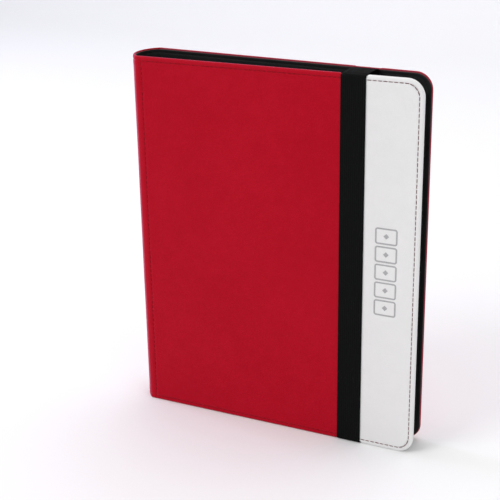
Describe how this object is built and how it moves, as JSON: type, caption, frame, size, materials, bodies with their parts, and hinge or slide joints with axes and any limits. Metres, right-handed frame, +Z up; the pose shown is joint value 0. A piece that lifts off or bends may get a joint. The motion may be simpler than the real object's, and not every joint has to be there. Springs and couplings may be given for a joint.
{
  "type": "trading card binder",
  "caption": "Padded trading card binder with rounded corners, a light fore-edge panel, fixed pocket leaves that fan open and an elastic closing strap.",
  "frame": {"origin": "on the surface the closed binder stands on, below the middle of its bounding box", "axes": "+Z up along the spine from tail to head, +X from the spine to the fore-edge, +Y from the front cover to the back cover; the front cover faces -Y"},
  "size_m": [0.2623, 0.0428, 0.318],
  "materials": {
    "cover_skin": "red embossed leatherette with a fine pebble grain, semi-matte",
    "edge_panel_skin": "very pale grey embossed leatherette, semi-matte",
    "foam": "thin soft padding foam",
    "board": "grey bookbinding board",
    "lining": "dark grey textured lining",
    "elastic": "black woven elastic with fine lengthwise ribs",
    "leaf_sheet": "black textured sheet behind clear glossy pocket film"
  },
  "bodies": {
    "back_cover": {"back_cover_skin": "cover_skin", "back_cover_foam": "foam", "back_cover_board": "board", "back_cover_lining": "lining", "strap_anchor_head": "elastic", "strap_anchor_tail": "elastic"},
    "spine": {"spine_skin": "cover_skin", "spine_board": "board", "spine_lining": "lining", "page_binding": "leaf_sheet"},
    "front_cover": {"front_cover_skin": "cover_skin", "front_edge_panel": "edge_panel_skin", "front_cover_foam": "foam", "front_cover_board": "board", "front_cover_lining": "lining"},
    "leaf_01": {"leaf_01": "leaf_sheet"},
    "leaf_02": {"leaf_02": "leaf_sheet"},
    "leaf_03": {"leaf_03": "leaf_sheet"},
    "leaf_04": {"leaf_04": "leaf_sheet"},
    "leaf_05": {"leaf_05": "leaf_sheet"},
    "leaf_06": {"leaf_06": "leaf_sheet"},
    "leaf_07": {"leaf_07": "leaf_sheet"},
    "leaf_08": {"leaf_08": "leaf_sheet"},
    "leaf_09": {"leaf_09": "leaf_sheet"},
    "leaf_10": {"leaf_10": "leaf_sheet"},
    "leaf_11": {"leaf_11": "leaf_sheet"},
    "leaf_12": {"leaf_12": "leaf_sheet"},
    "leaf_13": {"leaf_13": "leaf_sheet"},
    "leaf_14": {"leaf_14": "leaf_sheet"},
    "leaf_15": {"leaf_15": "leaf_sheet"},
    "leaf_16": {"leaf_16": "leaf_sheet"},
    "leaf_17": {"leaf_17": "leaf_sheet"},
    "leaf_18": {"leaf_18": "leaf_sheet"},
    "leaf_19": {"leaf_19": "leaf_sheet"},
    "leaf_20": {"leaf_20": "leaf_sheet"},
    "strap": {"strap": "elastic"}
  },
  "joints": [
    {"name": "spine_hinge", "type": "hinge", "parent": "back_cover", "child": "spine", "pos_m": [-0.1217, 0.0196, 0], "axis": [0, 0, -1], "range_deg": [0, 90]},
    {"name": "front_hinge", "type": "hinge", "parent": "spine", "child": "front_cover", "pos_m": [-0.1217, -0.0196, 0], "axis": [0, 0, -1], "range_deg": [0, 90]},
    {"name": "leaf_01_hinge", "type": "hinge", "parent": "spine", "child": "leaf_01", "pos_m": [-0.11693, -0.01666, 0], "axis": [0, 0, 1], "range_deg": [-83.7, 0]},
    {"name": "leaf_02_hinge", "type": "hinge", "parent": "spine", "child": "leaf_02", "pos_m": [-0.11584, -0.01513, 0], "axis": [0, 0, 1], "range_deg": [-74.89, 0]},
    {"name": "leaf_03_hinge", "type": "hinge", "parent": "spine", "child": "leaf_03", "pos_m": [-0.11486, -0.01352, 0], "axis": [0, 0, 1], "range_deg": [-66.08, 0]},
    {"name": "leaf_04_hinge", "type": "hinge", "parent": "spine", "child": "leaf_04", "pos_m": [-0.11399, -0.01185, 0], "axis": [0, 0, 1], "range_deg": [-57.27, 0]},
    {"name": "leaf_05_hinge", "type": "hinge", "parent": "spine", "child": "leaf_05", "pos_m": [-0.11323, -0.01012, 0], "axis": [0, 0, 1], "range_deg": [-48.46, 0]},
    {"name": "leaf_06_hinge", "type": "hinge", "parent": "spine", "child": "leaf_06", "pos_m": [-0.1126, -0.00835, 0], "axis": [0, 0, 1], "range_deg": [-39.65, 0]},
    {"name": "leaf_07_hinge", "type": "hinge", "parent": "spine", "child": "leaf_07", "pos_m": [-0.11209, -0.00653, 0], "axis": [0, 0, 1], "range_deg": [-30.84, 0]},
    {"name": "leaf_08_hinge", "type": "hinge", "parent": "spine", "child": "leaf_08", "pos_m": [-0.1117, -0.00469, 0], "axis": [0, 0, 1], "range_deg": [-22.03, 0]},
    {"name": "leaf_09_hinge", "type": "hinge", "parent": "spine", "child": "leaf_09", "pos_m": [-0.11145, -0.00282, 0], "axis": [0, 0, 1], "range_deg": [-13.22, 0]},
    {"name": "leaf_10_hinge", "type": "hinge", "parent": "spine", "child": "leaf_10", "pos_m": [-0.11132, -0.00094, 0], "axis": [0, 0, 1], "range_deg": [-4.41, 0]},
    {"name": "leaf_11_hinge", "type": "hinge", "parent": "spine", "child": "leaf_11", "pos_m": [-0.11132, 0.00094, 0], "axis": [0, 0, 1], "range_deg": [0, 4.41]},
    {"name": "leaf_12_hinge", "type": "hinge", "parent": "spine", "child": "leaf_12", "pos_m": [-0.11145, 0.00282, 0], "axis": [0, 0, 1], "range_deg": [0, 13.22]},
    {"name": "leaf_13_hinge", "type": "hinge", "parent": "spine", "child": "leaf_13", "pos_m": [-0.1117, 0.00469, 0], "axis": [0, 0, 1], "range_deg": [0, 22.03]},
    {"name": "leaf_14_hinge", "type": "hinge", "parent": "spine", "child": "leaf_14", "pos_m": [-0.11209, 0.00653, 0], "axis": [0, 0, 1], "range_deg": [0, 30.84]},
    {"name": "leaf_15_hinge", "type": "hinge", "parent": "spine", "child": "leaf_15", "pos_m": [-0.1126, 0.00835, 0], "axis": [0, 0, 1], "range_deg": [0, 39.65]},
    {"name": "leaf_16_hinge", "type": "hinge", "parent": "spine", "child": "leaf_16", "pos_m": [-0.11323, 0.01012, 0], "axis": [0, 0, 1], "range_deg": [0, 48.46]},
    {"name": "leaf_17_hinge", "type": "hinge", "parent": "spine", "child": "leaf_17", "pos_m": [-0.11399, 0.01185, 0], "axis": [0, 0, 1], "range_deg": [0, 57.27]},
    {"name": "leaf_18_hinge", "type": "hinge", "parent": "spine", "child": "leaf_18", "pos_m": [-0.11486, 0.01352, 0], "axis": [0, 0, 1], "range_deg": [0, 66.08]},
    {"name": "leaf_19_hinge", "type": "hinge", "parent": "spine", "child": "leaf_19", "pos_m": [-0.11584, 0.01513, 0], "axis": [0, 0, 1], "range_deg": [0, 74.89]},
    {"name": "leaf_20_hinge", "type": "hinge", "parent": "spine", "child": "leaf_20", "pos_m": [-0.11693, 0.01666, 0], "axis": [0, 0, 1], "range_deg": [0, 83.7]},
    {"name": "strap_swing", "type": "hinge", "parent": "back_cover", "child": "strap", "pos_m": [0.07377, 0, 0.159], "axis": [0, 0, 1], "range_deg": [0, 176.85], "deforming": ["strap"]}
  ],
  "couplings": [
    {"joint": "front_hinge", "follows": "spine_hinge", "ratio": 1},
    {"joint": "leaf_01_hinge", "follows": "spine_hinge", "ratio": -0.93},
    {"joint": "leaf_02_hinge", "follows": "spine_hinge", "ratio": -0.83211},
    {"joint": "leaf_03_hinge", "follows": "spine_hinge", "ratio": -0.73421},
    {"joint": "leaf_04_hinge", "follows": "spine_hinge", "ratio": -0.63632},
    {"joint": "leaf_05_hinge", "follows": "spine_hinge", "ratio": -0.53842},
    {"joint": "leaf_06_hinge", "follows": "spine_hinge", "ratio": -0.44053},
    {"joint": "leaf_07_hinge", "follows": "spine_hinge", "ratio": -0.34263},
    {"joint": "leaf_08_hinge", "follows": "spine_hinge", "ratio": -0.24474},
    {"joint": "leaf_09_hinge", "follows": "spine_hinge", "ratio": -0.14684},
    {"joint": "leaf_10_hinge", "follows": "spine_hinge", "ratio": -0.04895},
    {"joint": "leaf_11_hinge", "follows": "spine_hinge", "ratio": 0.04895},
    {"joint": "leaf_12_hinge", "follows": "spine_hinge", "ratio": 0.14684},
    {"joint": "leaf_13_hinge", "follows": "spine_hinge", "ratio": 0.24474},
    {"joint": "leaf_14_hinge", "follows": "spine_hinge", "ratio": 0.34263},
    {"joint": "leaf_15_hinge", "follows": "spine_hinge", "ratio": 0.44053},
    {"joint": "leaf_16_hinge", "follows": "spine_hinge", "ratio": 0.53842},
    {"joint": "leaf_17_hinge", "follows": "spine_hinge", "ratio": 0.63632},
    {"joint": "leaf_18_hinge", "follows": "spine_hinge", "ratio": 0.73421},
    {"joint": "leaf_19_hinge", "follows": "spine_hinge", "ratio": 0.83211},
    {"joint": "leaf_20_hinge", "follows": "spine_hinge", "ratio": 0.93},
    {"joint": "strap_swing", "follows": "spine_hinge", "ratio": 1.9651}
  ]
}
